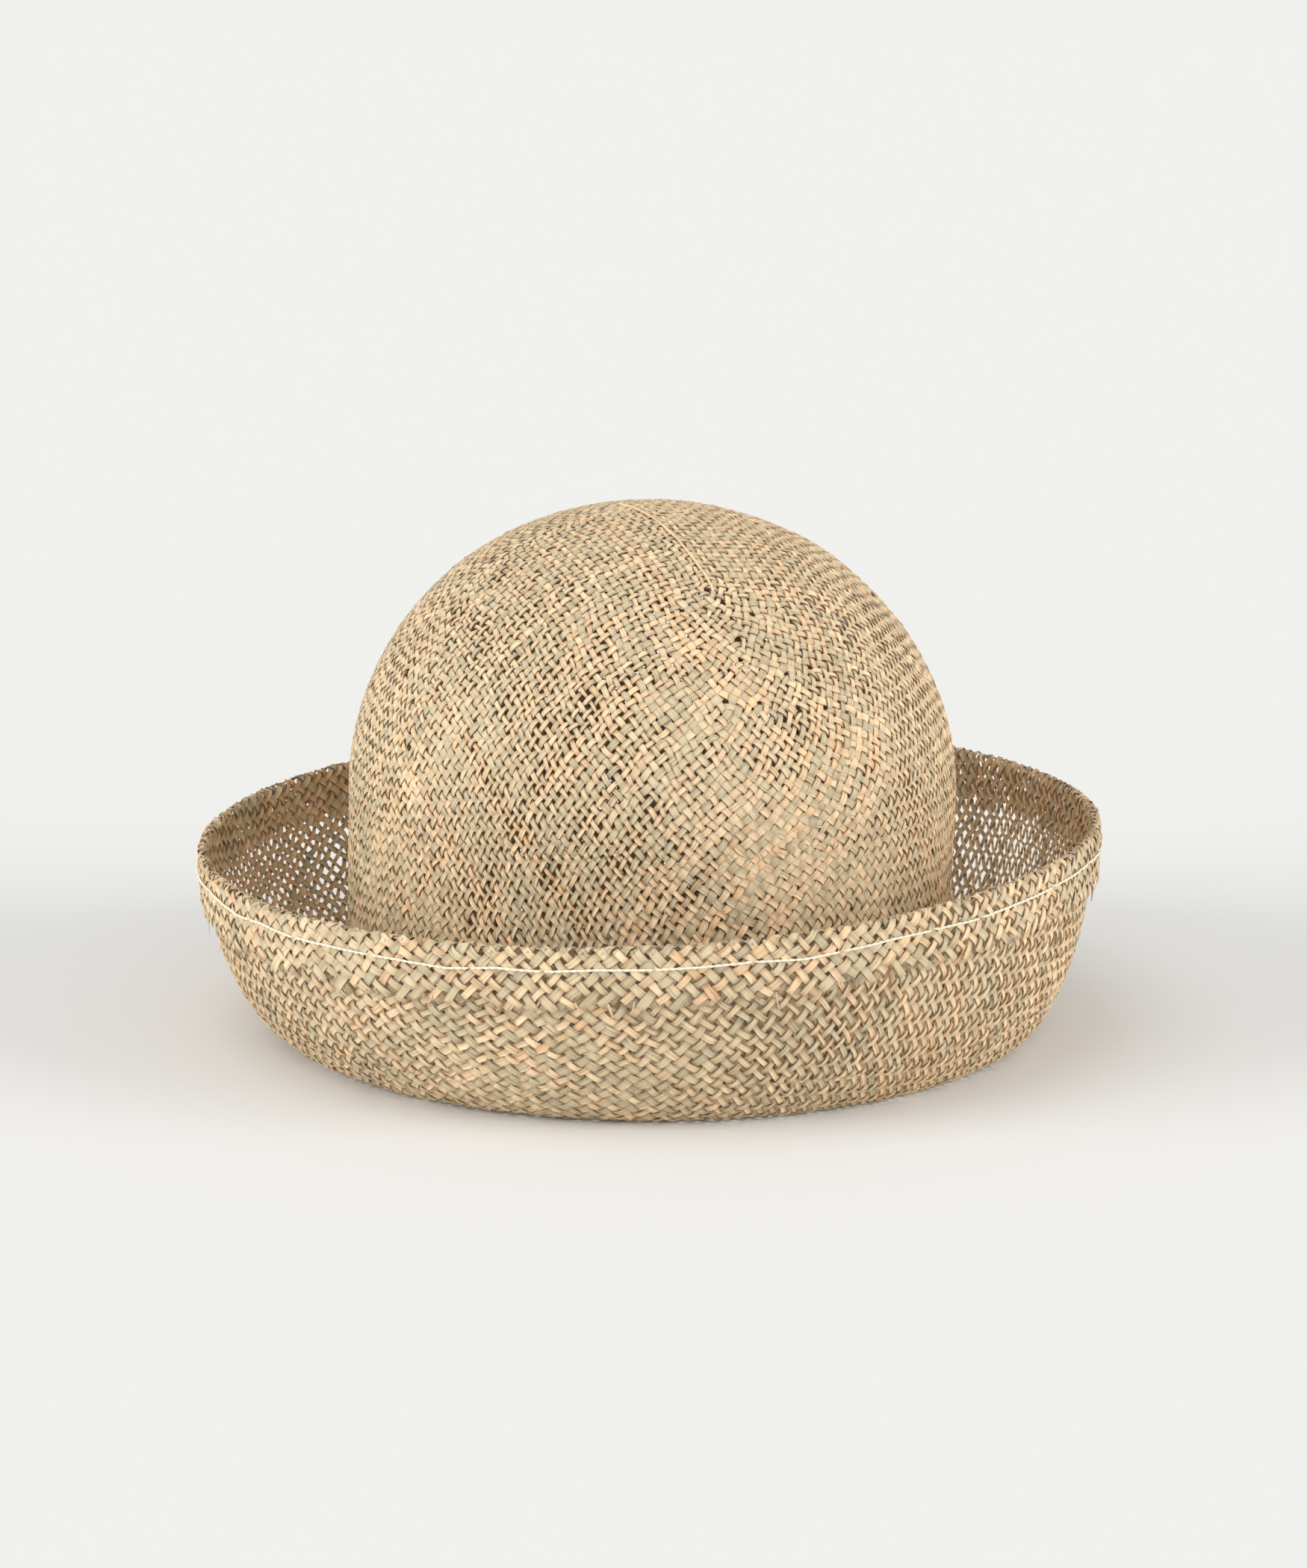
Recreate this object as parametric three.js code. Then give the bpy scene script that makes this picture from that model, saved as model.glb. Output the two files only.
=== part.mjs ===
// A seagrass hat with a deep round crown and a brim that is turned up all round.
// The real hat is one woven sheet: it runs from the tip down the crown, out into the brim, up the brim's
// wall, over the fold at its edge and down the outside as a stitched hem. The model follows that sheet
// and parts it where a hatter does: crown, brim and hem.
// Millimetres, +Z up, the front towards -Y. The hat rests on the underside of its brim at Z = 0.
import * as THREE from "three";

// Crown, to the middle of its wall
const CROWN_WIDTH = 175;
const CROWN_LENGTH = 192;
const CROWN_HEIGHT = 152.7;
const DOME_RISE = 83;
const HEAD_FLARE = 1;
const HEAD_LINE_HEIGHT = 12;

// Brim, to the middle of its wall
const BRIM_WIDTH = 258;
const BRIM_LENGTH = 272.5;
const RIM_HEIGHT = 58;
const REST_INSET = 24.3;
const REST_WIDTH = 5;

// Woven wall and hem
const WALL = 1.8;
const HEM_DEPTH = 14;
const LAYER_GAP = 0.4;
const SPLIT_GAP = 0.3;

// How the brim's section bends, as shares of the height or width that each stretch covers
const TURN_DROP = 0.7;
const TURN_REACH = 0.35;
const WALL_START = 0.36;
const WALL_RISE = 0.435;
const WALL_BULGE = 0.02;

// Soft waves of the brim. Rise lifts the rim, as a share of its height. Tuck draws the flat that the hat
// rests on towards the crown, as a share of its inset. Azimuth runs from +X towards +Y.
const BRIM_WAVES = [
  { azimuth: 0, spread: 70, rise: 0.033, tuck: -0.05 },
  { azimuth: -35, spread: 30, rise: 0.066, tuck: 0.04 },
  { azimuth: 60, spread: 40, rise: 0.047, tuck: 0 },
  { azimuth: 120, spread: 40, rise: 0.012, tuck: 0 },
  { azimuth: 180, spread: 70, rise: -0.054, tuck: 0.15 },
  { azimuth: 208, spread: 30, rise: -0.018, tuck: 0.06 },
  { azimuth: -90, spread: 55, rise: -0.074, tuck: 0.1 },
];

// The four corners of the plaited top and the soft swells of the crown, as shares of its half width.
// Polar is the angle down from the tip.
const CROWN_FORMS = [
  { azimuth: -68, polar: 35, spread: 13, rise: 0.004 },
  { azimuth: 22, polar: 36, spread: 7, rise: 0.01 },
  { azimuth: 112, polar: 35, spread: 13, rise: 0.015 },
  { azimuth: 202, polar: 35, spread: 13, rise: 0.013 },
  { azimuth: 20, polar: 14, spread: 10, rise: 0.004 },
  { azimuth: 0, polar: 55, spread: 16, rise: 0.004 },
  { azimuth: 180, polar: 55, spread: 18, rise: 0.003 },
  { azimuth: 180, polar: 88, spread: 26, rise: -0.005 },
  { azimuth: 0, polar: 88, spread: 26, rise: 0.018 },
];

// Facets
const AZIMUTH_STEPS = 60;
const DOME_ROWS = 14;
const SIDE_ROWS = 5;
const TURN_ROWS = 5;
const REST_ROWS = 3;
const WALL_ROWS = 9;
const FOLD_ROWS = 3;
const HEM_ROWS = 5;
const RIGHT_ANGLE = Math.PI / 2;
const STEP_BESIDE = 1e-3;

const radians = THREE.MathUtils.degToRad;

// A smooth hump: 1 at no distance, falling to nothing a few spreads away.
function hump(distance, spread) {
  return Math.exp(-0.5 * (distance / spread) ** 2);
}

// The angle between two azimuths, in degrees, from 0 to 180.
function turnBetween(a, b) {
  const turn = (((a - b) % 360) + 360) % 360;
  return Math.min(turn, 360 - turn);
}

// The brim's rim height and the tuck of its flat at an azimuth.
function brimWave(azimuth) {
  const at = THREE.MathUtils.radToDeg(azimuth);
  let rise = 0;
  let tuck = 0;
  for (const w of BRIM_WAVES) {
    const share = hump(turnBetween(at, w.azimuth), w.spread);
    rise += w.rise * share;
    tuck += w.tuck * share;
  }
  return { rim: RIM_HEIGHT * (1 + rise), tuck };
}

// How far the crown stands out of its plain form at an azimuth and an angle down from the tip.
function crownForm(azimuth, polar) {
  const here = new THREE.Vector3().setFromSphericalCoords(1, polar, azimuth);
  let rise = 0;
  for (const f of CROWN_FORMS) {
    const there = new THREE.Vector3().setFromSphericalCoords(1, radians(f.polar), radians(f.azimuth));
    rise += f.rise * hump(here.angleTo(there), radians(f.spread));
  }
  return (rise * CROWN_WIDTH) / 2;
}

// A point of the oval at a distance out from the crown's straight sides.
function onOval(azimuth, scale, out, height) {
  const x = (CROWN_WIDTH / 2) * scale + out;
  const y = (CROWN_LENGTH / 2) * scale + out;
  return new THREE.Vector3(x * Math.cos(azimuth), y * Math.sin(azimuth), height);
}

// The middle of the crown's wall. Along runs from 0 at the tip to 1 at the dome's edge and 2 at the head line.
function crownPoint(azimuth, along) {
  const domeEdge = CROWN_HEIGHT - DOME_RISE;
  if (along > 1) {
    const down = along - 1;
    const flare = HEAD_FLARE * down * down;
    const height = THREE.MathUtils.lerp(domeEdge, HEAD_LINE_HEIGHT, down);
    const side = onOval(azimuth, 1, flare, height);
    const form = crownForm(azimuth, RIGHT_ANGLE + down) * (1 - down);
    return side.add(new THREE.Vector3(Math.cos(azimuth), Math.sin(azimuth), 0).multiplyScalar(form));
  }
  const polar = along * RIGHT_ANGLE;
  const plain = onOval(azimuth, Math.sin(polar), 0, domeEdge + DOME_RISE * Math.cos(polar));
  const outward = new THREE.Vector3(
    Math.sin(polar) * Math.cos(azimuth),
    Math.sin(polar) * Math.sin(azimuth),
    Math.cos(polar),
  );
  return plain.add(outward.multiplyScalar(crownForm(azimuth, polar)));
}

// The brim's section at an azimuth: out from the head line, and up. Three stretches follow each other:
// the turn out of the crown, the flat that the hat rests on, and the wall that rises to the rim.
function brimSection(azimuth) {
  const overhang = (Math.cos(azimuth) ** 2 * (BRIM_WIDTH - CROWN_WIDTH)) / 2
    + (Math.sin(azimuth) ** 2 * (BRIM_LENGTH - CROWN_LENGTH)) / 2 - HEAD_FLARE;
  const { rim, tuck } = brimWave(azimuth);
  const restOut = overhang - REST_INSET * (1 + tuck) + REST_WIDTH;
  const restIn = restOut - REST_WIDTH;
  const low = WALL / 2;
  const p = (out, up) => new THREE.Vector2(out, up);
  const turn = new THREE.CubicBezierCurve(
    p(0, HEAD_LINE_HEIGHT),
    p(0, HEAD_LINE_HEIGHT * (1 - TURN_DROP)),
    p(restIn * TURN_REACH, low),
    p(restIn, low),
  );
  const rest = new THREE.LineCurve(p(restIn, low), p(restOut, low));
  const climb = overhang - restOut;
  const wall = new THREE.CubicBezierCurve(
    p(restOut, low),
    p(restOut + climb * WALL_START, low),
    p(overhang * (1 + WALL_BULGE), rim * WALL_RISE),
    p(overhang, rim),
  );
  return { turn, rest, wall };
}

// The middle of the brim's wall. Along runs from 0 at the head line to 1 and 2 at the rest's two edges
// and 3 at the rim.
function brimPoint(azimuth, along) {
  const { turn, rest, wall } = brimSection(azimuth);
  const stretch = [turn, rest, wall][Math.min(2, Math.floor(along))];
  const at = stretch.getPoint(along - Math.min(2, Math.floor(along)));
  return onOval(azimuth, 1, HEAD_FLARE + at.x, at.y);
}

// A surface point's place, its direction along the sheet and its normal. The normal is on the side that
// is the crown's outside.
function frameOf(surface, azimuth, along, least, most) {
  const before = surface(azimuth, Math.max(least, along - STEP_BESIDE));
  const after = surface(azimuth, Math.min(most, along + STEP_BESIDE));
  const beside = surface(azimuth + STEP_BESIDE, Math.max(along, STEP_BESIDE));
  const other = surface(azimuth - STEP_BESIDE, Math.max(along, STEP_BESIDE));
  const along3 = after.sub(before).normalize();
  const around = beside.sub(other).normalize();
  const normal = along3.clone().cross(around).normalize();
  return { point: surface(azimuth, along), along: along3, normal };
}

const crownFrame = (azimuth, along) => {
  const frame = frameOf(crownPoint, azimuth, along, 0, 2);
  return along === 0 ? { ...frame, normal: new THREE.Vector3(0, 0, 1) } : frame;
};

const brimFrame = (azimuth, along) => frameOf(brimPoint, azimuth, along, 0, 3);

// The fold at the rim: a half turn outwards, from 0 at the brim's wall to 1 at the hem.
const FOLD_RADIUS = (WALL + LAYER_GAP) / 2;
function foldFrame(azimuth, share) {
  const rim = brimFrame(azimuth, 3);
  const centre = rim.point.clone().addScaledVector(rim.normal, -FOLD_RADIUS);
  const turn = share * Math.PI;
  const normal = rim.normal.clone().multiplyScalar(Math.cos(turn)).addScaledVector(rim.along, Math.sin(turn));
  return { point: centre.addScaledVector(normal, FOLD_RADIUS), normal };
}

// The hem lies on the brim's outer face, at a distance below the rim.
function hemFrame(azimuth, below) {
  const { wall } = brimSection(azimuth);
  const share = wall.getUtoTmapping(1 - below / wall.getLength());
  const under = brimFrame(azimuth, 2 + share);
  return {
    point: under.point.clone().addScaledVector(under.normal, -2 * FOLD_RADIUS),
    normal: under.normal.clone().negate(),
  };
}

// Evenly spaced values from one to another, both included.
function steps(from, to, count) {
  return Array.from({ length: count + 1 }, (_, i) => THREE.MathUtils.lerp(from, to, i / count));
}

// A wall of the sheet as one closed mesh: its outside, its inside and its two edges. Each row gives the
// sheet's frame at an azimuth. A wall that starts at the tip has a single point for its first row.
function wallGeometry(rows, startsAtTip) {
  const azimuths = steps(0, 2 * Math.PI, AZIMUTH_STEPS).slice(0, -1);
  const vertices = [];
  const indices = [];
  const addVertex = (v) => vertices.push(v.x, v.y, v.z) / 3 - 1;
  const faces = [1, -1].map((side) =>
    rows.map((row, i) => {
      const ring = startsAtTip && i === 0 ? [0] : azimuths;
      return ring.map((azimuth) => {
        const { point, normal } = row(azimuth);
        return addVertex(point.clone().addScaledVector(normal, (side * WALL) / 2));
      });
    }),
  );
  const at = (ring, k) => ring[k % ring.length];
  const addBand = (upper, lower, flipped) => {
    for (let k = 0; k < AZIMUTH_STEPS; k++) {
      const [a, b, c, d] = [at(upper, k), at(upper, k + 1), at(lower, k + 1), at(lower, k)];
      const triangles = upper.length === 1 ? [[a, d, c]] : [[a, d, c], [a, c, b]];
      for (const t of triangles) indices.push(...(flipped ? t.reverse() : t));
    }
  };
  const [outside, inside] = faces;
  for (let i = 0; i + 1 < rows.length; i++) {
    addBand(outside[i], outside[i + 1], false);
    addBand(inside[i], inside[i + 1], true);
  }
  addBand(outside.at(-1), inside.at(-1), false);
  if (!startsAtTip) addBand(outside[0], inside[0], true);
  const geometry = new THREE.BufferGeometry();
  geometry.setAttribute("position", new THREE.Float32BufferAttribute(vertices, 3));
  geometry.setIndex(indices);
  geometry.computeVertexNormals();
  return geometry;
}

const seagrass = (color) => new THREE.MeshStandardMaterial({ color, roughness: 0.75, metalness: 0 });

function makeCrown() {
  const sideLength = CROWN_HEIGHT - DOME_RISE - HEAD_LINE_HEIGHT;
  const end = 2 - SPLIT_GAP / 2 / sideLength;
  const along = [...steps(0, 1, DOME_ROWS), ...steps(1, end, SIDE_ROWS).slice(1)];
  const rows = along.map((s) => (azimuth) => crownFrame(azimuth, s));
  return new THREE.Mesh(wallGeometry(rows, true), seagrass(0xc9b48a));
}

function makeBrim() {
  const start = SPLIT_GAP / 2 / (HEAD_LINE_HEIGHT * TURN_DROP * 3);
  const foldEnd = 0.5 - SPLIT_GAP / 2 / (Math.PI * FOLD_RADIUS);
  const along = [
    ...steps(start, 1, TURN_ROWS),
    ...steps(1, 2, REST_ROWS).slice(1),
    ...steps(2, 3, WALL_ROWS).slice(1),
  ];
  const rows = [
    ...along.map((s) => (azimuth) => brimFrame(azimuth, s)),
    ...steps(0, foldEnd, FOLD_ROWS).slice(1).map((s) => (azimuth) => foldFrame(azimuth, s)),
  ];
  return new THREE.Mesh(wallGeometry(rows, false), seagrass(0xc4ae84));
}

function makeHem() {
  const foldStart = 0.5 + SPLIT_GAP / 2 / (Math.PI * FOLD_RADIUS);
  const rows = [
    ...steps(foldStart, 1, FOLD_ROWS).map((s) => (azimuth) => foldFrame(azimuth, s)),
    ...steps(0, HEM_DEPTH, HEM_ROWS).slice(1).map((d) => (azimuth) => hemFrame(azimuth, d)),
  ];
  return new THREE.Mesh(wallGeometry(rows, false), seagrass(0xcdb88f));
}

const hat = new THREE.Group();
for (const [name, make] of Object.entries({ crown: makeCrown, brim: makeBrim, hem: makeHem })) {
  const mesh = make();
  mesh.name = name;
  hat.add(mesh);
}

export default hat;
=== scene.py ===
import math
import bpy
import numpy as np
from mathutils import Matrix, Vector


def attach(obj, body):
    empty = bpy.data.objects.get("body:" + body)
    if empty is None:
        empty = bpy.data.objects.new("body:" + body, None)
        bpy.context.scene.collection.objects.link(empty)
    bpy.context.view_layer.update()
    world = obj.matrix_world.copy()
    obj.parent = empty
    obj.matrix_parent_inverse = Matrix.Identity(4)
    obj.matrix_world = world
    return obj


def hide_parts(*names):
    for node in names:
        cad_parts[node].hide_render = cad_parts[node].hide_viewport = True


# A plaited seagrass hat with a turned-up brim. Every strand of the plait is laid over the sheet that the
# frame's solids follow, ring by ring from the tip of the crown to the cut edge of the hem.
# The sheet and the plait are worked out in millimetres and put into Blender in metres.
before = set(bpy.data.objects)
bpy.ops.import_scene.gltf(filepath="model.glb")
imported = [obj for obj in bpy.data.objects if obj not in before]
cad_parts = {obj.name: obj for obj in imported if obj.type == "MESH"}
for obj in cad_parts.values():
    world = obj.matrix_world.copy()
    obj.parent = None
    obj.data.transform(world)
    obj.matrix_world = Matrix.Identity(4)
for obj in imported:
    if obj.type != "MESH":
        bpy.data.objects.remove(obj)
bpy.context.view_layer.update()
MM = 0.001
RANDOM_SEED = 41

# The sheet's sizes, as in the frame's source
CROWN_WIDTH = 175.0
CROWN_LENGTH = 192.0
CROWN_HEIGHT = 152.7
DOME_RISE = 83.0
HEAD_FLARE = 1.0
HEAD_LINE_HEIGHT = 12.0
BRIM_WIDTH = 258.0
BRIM_LENGTH = 272.5
RIM_HEIGHT = 58.0
REST_INSET = 24.3
REST_WIDTH = 5.0
WALL = 1.8
HEM_DEPTH = 14.0
LAYER_GAP = 0.4
TURN_DROP = 0.7
TURN_REACH = 0.35
WALL_START = 0.36
WALL_RISE = 0.435
WALL_BULGE = 0.02
BRIM_WAVES = [
    {"azimuth": 0, "spread": 70, "rise": 0.033, "tuck": -0.05},
    {"azimuth": -35, "spread": 30, "rise": 0.066, "tuck": 0.04},
    {"azimuth": 60, "spread": 40, "rise": 0.047, "tuck": 0},
    {"azimuth": 120, "spread": 40, "rise": 0.012, "tuck": 0},
    {"azimuth": 180, "spread": 70, "rise": -0.054, "tuck": 0.15},
    {"azimuth": 208, "spread": 30, "rise": -0.018, "tuck": 0.06},
    {"azimuth": -90, "spread": 55, "rise": -0.074, "tuck": 0.1},
]
CROWN_FORMS = [
    {"azimuth": -68, "polar": 35, "spread": 13, "rise": 0.004},
    {"azimuth": 22, "polar": 36, "spread": 7, "rise": 0.01},
    {"azimuth": 112, "polar": 35, "spread": 13, "rise": 0.015},
    {"azimuth": 202, "polar": 35, "spread": 13, "rise": 0.013},
    {"azimuth": 20, "polar": 14, "spread": 10, "rise": 0.004},
    {"azimuth": 0, "polar": 55, "spread": 16, "rise": 0.004},
    {"azimuth": 180, "polar": 55, "spread": 18, "rise": 0.003},
    {"azimuth": 180, "polar": 88, "spread": 26, "rise": -0.005},
    {"azimuth": 0, "polar": 88, "spread": 26, "rise": 0.018},
]

# The plait. A pitch is the length of strand between two crossings, a cover the share of it that a strand
# fills, and a span the length of one swing
LATTICE_CENTRE = (-6.0, -3.0)
CORNER_AZIMUTH = 27.0
CORNER_RINGS = 24
STRANDS = 178
RING_SPACING = 3.12
TIP_PITCH = 2.45
SIDE_PITCH = 2.62
HEAD_PITCH = 2.95
TURN_PITCH = 3.3
BRIM_PITCH = 3.45
TIP_COVER = 0.68
CROWN_COVER = 0.66
HEAD_COVER = 0.58
BRIM_COVER = 0.47
HEM_COVER = 0.59
FRONT_COVER = 0.035
COVER_SWING = 0.03
COVER_SPAN = 55.0
JITTER = 0.22
WANDER = 0.3
WANDER_SPAN = 17.0
STRAND_THICKNESS = 0.3
STRAND_LIFT = 0.26
PLATEAU = 0.26
LEAST_FALL = 0.4
RING_SMOOTHING = 0.2
PLAIT_SPARE = 1.5
CHOICE_SCATTER = 0.22
GAPS_PER_NEW_STRAND = 8
GAPS_APART = 3
RELAX_ROUNDS = 60
RELAX_PULL = 0.4
RELAX_EVEN = 0.06
LONGEST_MOVE = 0.4
SPREAD_LIMITS = (0.88, 1.3)
WIDEST_STRAND = 0.95
TIP_REACH = 60.0
RIM_BAND = 4.0
FRONT_RAMP = 20.0
TAIL_LENGTHS = (0.5, 1.1)
TAIL_LIFT = 0.7
LIFT_SCATTER = 0.12
ROLL_SWING = 5.0
ROLL_SCATTER = 4.0
STRAND_SCATTER = 0.06
WIDTH_SWING = 0.1
WIDTH_SCATTER = 0.06
THICKNESS_SWING = 0.08
UNDER_SHADE = 3.6
BLADE_LENGTHS = (14, 75)
STRAW_SHARE = 0.42
PALE_SHARE = 0.05
GREEN_SWING = 0.18
GREEN_AZIMUTH = 200.0
SEED_STEP = 7.3
FLOAT_SEED = 5.5
LOOSE_SEED_STEP = 3.1
FLOAT_BACK = 9.0
FLOAT_WIDTH = 0.6
FLOAT_LIFT = 0.65
FLOAT_POINTS = 70
FLOAT_END = 0.3

# The hem's stitching and loose ends
STITCH_DEPTH = 4.7
STITCH_LENGTH = 27.0
STITCH_HEIGHT = 0.78
PLY_RADIUS = 0.26
PLY_OFFSET = 0.15
PLY_TURN = 4.2
PLY_SIDES = 6
THREAD_STEP = 0.5
THREAD_WAVER = 0.35
WAVER_KNOTS = 60
DIP_REACH = 1.2
DIP_LENGTH = 0.8
DIP_DEPTH = 1.1
LOOSE_ENDS = 50
LOOSE_POINTS = 7
LOOSE_LENGTHS = (2.0, 6.5)
LOOSE_WIDTHS = (0.25, 0.7)

# Sampling of the sheet
AZIMUTH_COLUMNS = 240
DISTANCE_STEP = 0.25
HEM_SPARE = 12.0
DOME_ROWS = 110
SIDE_ROWS = 40
TURN_ROWS = 30
REST_ROWS = 6
WALL_ROWS = 90
FOLD_ROWS = 20
HEM_ROWS = 40

# The camera, fitted to the photo's outline
CAMERA_ELEVATION = 11.8
CAMERA_DISTANCE = 1500.0
CAMERA_TARGET = (1.3, 0.0, 70.7)
SENSOR = 36.0
FOCAL_LENGTH = 117.9

# The studio. Each softbox has the direction that it stands in, its strength and how wide it looks
FLOOR_REACH = 20.0
FLOOR_COLOUR = (0.774, 0.776, 0.764, 1)
ROOM_LIGHT = 0.565
LIGHT_COLOUR = (1.0, 0.99, 0.975)
SOFTBOXES = [
    {"name": "softbox_top", "towards": (-0.3, -0.2, 1.0), "strength": 0.58, "degrees": 40},
    {"name": "softbox_front", "towards": (0.1, -1.0, 0.25), "strength": 0.45, "degrees": 50},
    {"name": "softbox_left", "towards": (-1.0, -0.35, 0.3), "strength": 2.1, "degrees": 42},
    {"name": "softbox_right", "towards": (1.0, -0.35, 0.3), "strength": 2.0, "degrees": 42},
]

# The plait's pieces from the tip outwards, and the node that each one stands for
PIECES = [
    ("weave_tip", "crown"),
    ("weave_dome", "crown"),
    ("weave_side", "crown"),
    ("weave_turn", "brim"),
    ("weave_wall", "brim"),
    ("weave_hem", "hem"),
]
TIP_PIECE_REACH = 86.0
TURN_PIECE_SPARE = 18

# Blades of seagrass. The first three are a mean and a scatter, the width is the narrowest and the widest
STRAW_BLADE = {"green": (0.1, 0.12), "light": (0.55, 0.75), "rust": (0.1, 0.25), "width": (0.72, 0.98)}
GREEN_BLADE = {"green": (0.75, 0.22), "light": (-0.4, 0.65), "rust": (-0.2, 0.25), "width": (0.94, 1.14)}
PALE_BLADE = {"green": 0.4, "light": 1.5, "width": 1.2}


# The sheet's surface

def hump(distance, spread):
    """A soft bump that is 1 at no distance."""
    return np.exp(-0.5 * (distance / spread) ** 2)


def turn_between(a, b):
    """The smaller turn between two directions in degrees."""
    turn = np.mod(a - b, 360.0)
    return np.minimum(turn, 360.0 - turn)


def brim_wave(azimuth, column):
    """The sum of one column of the brim's waves at an azimuth."""
    degrees = np.degrees(azimuth)
    return sum(w[column] * hump(turn_between(degrees, w["azimuth"]), w["spread"]) for w in BRIM_WAVES)


def crown_form(azimuth, polar):
    """How far the crown swells out there, in mm."""
    rise = 0.0
    for form in CROWN_FORMS:
        there = math.radians(form["polar"])
        apart = np.cos(polar) * math.cos(there)
        apart = apart + np.sin(polar) * math.sin(there) * np.cos(azimuth - math.radians(form["azimuth"]))
        angle = np.degrees(np.arccos(np.clip(apart, -1.0, 1.0)))
        rise = rise + form["rise"] * hump(angle, form["spread"])
    return rise * CROWN_WIDTH / 2


def on_oval(azimuth, scale, out, height):
    """Points on the crown's oval, scaled and then moved outwards, at a height."""
    x = (CROWN_WIDTH / 2 * scale + out) * np.cos(azimuth)
    y = (CROWN_LENGTH / 2 * scale + out) * np.sin(azimuth)
    return np.stack(np.broadcast_arrays(x, y, height), axis=-1)


def crown_surface(azimuth, along):
    """Along runs from 0 at the tip to 1 at the dome's edge and 2 at the head line."""
    azimuth, along = np.broadcast_arrays(azimuth, along)
    dome_edge = CROWN_HEIGHT - DOME_RISE
    polar = np.minimum(along, 1.0) * math.pi / 2
    dome = on_oval(azimuth, np.sin(polar), 0.0, dome_edge + DOME_RISE * np.cos(polar))
    outward = np.stack([np.sin(polar) * np.cos(azimuth), np.sin(polar) * np.sin(azimuth), np.cos(polar)], -1)
    dome = dome + outward * crown_form(azimuth, polar)[..., None]
    down = np.maximum(along - 1.0, 0.0)
    side = on_oval(azimuth, 1.0, HEAD_FLARE * down ** 2, dome_edge + (HEAD_LINE_HEIGHT - dome_edge) * down)
    swell = crown_form(azimuth, math.pi / 2 + down) * (1.0 - down)
    flat = np.stack([np.cos(azimuth), np.sin(azimuth), np.zeros_like(azimuth)], -1)
    side = side + flat * swell[..., None]
    return np.where((along <= 1.0)[..., None], dome, side)


def bezier(t, a, b, c, d):
    """A cubic curve from a to d that is drawn towards b and c on its way."""
    u = 1.0 - t
    return u ** 3 * a + 3 * u * u * t * b + 3 * u * t * t * c + t ** 3 * d


def brim_surface(azimuth, along):
    """Along runs from 0 at the head line to 1 and 2 at the rest's two edges and 3 at the rim."""
    azimuth, along = np.broadcast_arrays(azimuth, along)
    overhang = np.cos(azimuth) ** 2 * (BRIM_WIDTH - CROWN_WIDTH) / 2
    overhang = overhang + np.sin(azimuth) ** 2 * (BRIM_LENGTH - CROWN_LENGTH) / 2 - HEAD_FLARE
    rim = RIM_HEIGHT * (1 + brim_wave(azimuth, "rise"))
    rest_out = overhang - REST_INSET * (1 + brim_wave(azimuth, "tuck")) + REST_WIDTH
    rest_in = rest_out - REST_WIDTH
    low = WALL / 2
    climb = overhang - rest_out
    turn = np.clip(along, 0.0, 1.0)
    rest = np.clip(along - 1.0, 0.0, 1.0)
    wall = np.clip(along - 2.0, 0.0, 1.0)
    drop = HEAD_LINE_HEIGHT * (1 - TURN_DROP)
    turn_out = bezier(turn, 0.0, 0.0, rest_in * TURN_REACH, rest_in)
    turn_up = bezier(turn, HEAD_LINE_HEIGHT, drop, low, low)
    wall_out = bezier(wall, rest_out, rest_out + climb * WALL_START, overhang * (1 + WALL_BULGE), overhang)
    wall_up = bezier(wall, low, low, rim * WALL_RISE, rim)
    out = np.where(along < 1, turn_out, np.where(along < 2, rest_in + REST_WIDTH * rest, wall_out))
    up = np.where(along < 1, turn_up, np.where(along < 2, low, wall_up))
    return on_oval(azimuth, 1.0, HEAD_FLARE + out, up)


def unit(vectors):
    length = np.linalg.norm(vectors, axis=-1, keepdims=True)
    return vectors / np.maximum(length, 1e-12)


def brim_normal(azimuth, along):
    """The direction that runs on along the brim's sheet, and the one out of its upper face."""
    beside = 1e-3
    down = brim_surface(azimuth, np.minimum(along + beside, 3.0)) - brim_surface(azimuth, along - beside)
    around = brim_surface(azimuth + beside, along) - brim_surface(azimuth - beside, along)
    return unit(down), unit(np.cross(down, around))


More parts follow.
